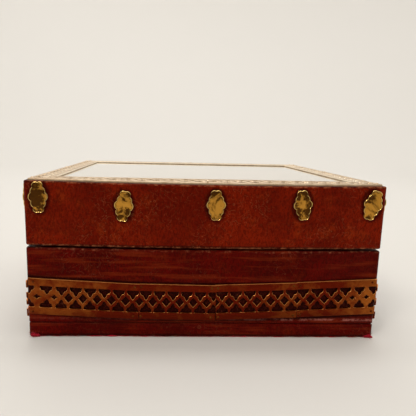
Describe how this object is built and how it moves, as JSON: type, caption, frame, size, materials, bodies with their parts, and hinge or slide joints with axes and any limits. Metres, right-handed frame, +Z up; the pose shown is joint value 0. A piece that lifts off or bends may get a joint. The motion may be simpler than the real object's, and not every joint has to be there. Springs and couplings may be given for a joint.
{
  "type": "leather jewellery case",
  "caption": "Low rectangular leather-covered jewellery case with hinged lid, mirrored top, pierced brass trim, velvet lining and lift-out tray.",
  "frame": {"origin": "centre of the leather-covered case's footprint, on the underside of the felt", "axes": "+X to the case's right along its width, -Y out of its front, +Z up"},
  "size_m": [0.203, 0.1757, 0.0914],
  "materials": {
    "leather": "waxed oxblood-brown leather, worn lighter at the edges",
    "brass": "aged pressed brass, darkened in the hollows",
    "mirror": "old silvered glass with a warm tint",
    "felt": "bright red wool felt, fraying at the corners",
    "velvet": "deep red velvet",
    "ribbon": "red grosgrain ribbon",
    "wood": "plain softwood board"
  },
  "bodies": {
    "base": {"base_felt": "felt", "base_floor_board": "wood", "base_front_board": "wood", "base_back_board": "wood", "base_left_board": "wood", "base_right_board": "wood", "base_leather_cover": "leather", "base_floor_lining": "velvet", "base_wall_lining": "velvet", "base_long_divider": "velvet", "base_cross_divider": "velvet", "tray_rest_left": "velvet", "tray_rest_right": "velvet", "band_front_1": "brass", "band_front_2": "brass", "band_front_3": "brass", "band_front_4": "brass", "band_right": "brass", "band_back": "brass", "band_left": "brass", "band_pins": "brass", "hinge_left_base_leaf": "brass", "hinge_right_base_leaf": "brass", "hinge_pins": "brass", "hinge_base_screws": "brass"},
    "lid": {"lid_top_board": "wood", "lid_front_board": "wood", "lid_back_board": "wood", "lid_left_board": "wood", "lid_right_board": "wood", "lid_leather_cover": "leather", "lid_mirror": "mirror", "strip_front": "brass", "strip_right": "brass", "strip_back": "brass", "strip_left": "brass", "strip_pins": "brass", "ornament_front_1": "brass", "ornament_front_2": "brass", "ornament_front_3": "brass", "ornament_front_4": "brass", "ornament_front_5": "brass", "ornaments_right": "brass", "ornaments_back": "brass", "ornaments_left": "brass", "lid_wall_lining": "velvet", "lid_padding": "velvet", "lid_pad_buttons": "velvet", "hinge_left_lid_leaf": "brass", "hinge_right_lid_leaf": "brass", "hinge_lid_screws": "brass"},
    "tray": {"tray_floor": "wood", "tray_walls": "leather", "tray_floor_lining": "velvet", "tray_middle_divider": "velvet", "tray_left_divider": "velvet", "tray_right_divider": "velvet", "ring_roll_bed": "velvet", "ring_rolls": "velvet", "tray_pull_tabs": "ribbon"}
  },
  "joints": [
    {"name": "lid_hinge", "type": "hinge", "parent": "base", "child": "lid", "pos_m": [0, 0.0872, 0.0535], "axis": [-1, 0, 0], "range_deg": [0, 100]},
    {"name": "tray_lift", "type": "slide", "parent": "base", "child": "tray", "axis": [0, 0, 1], "range_m": [0, 0.025]}
  ]
}
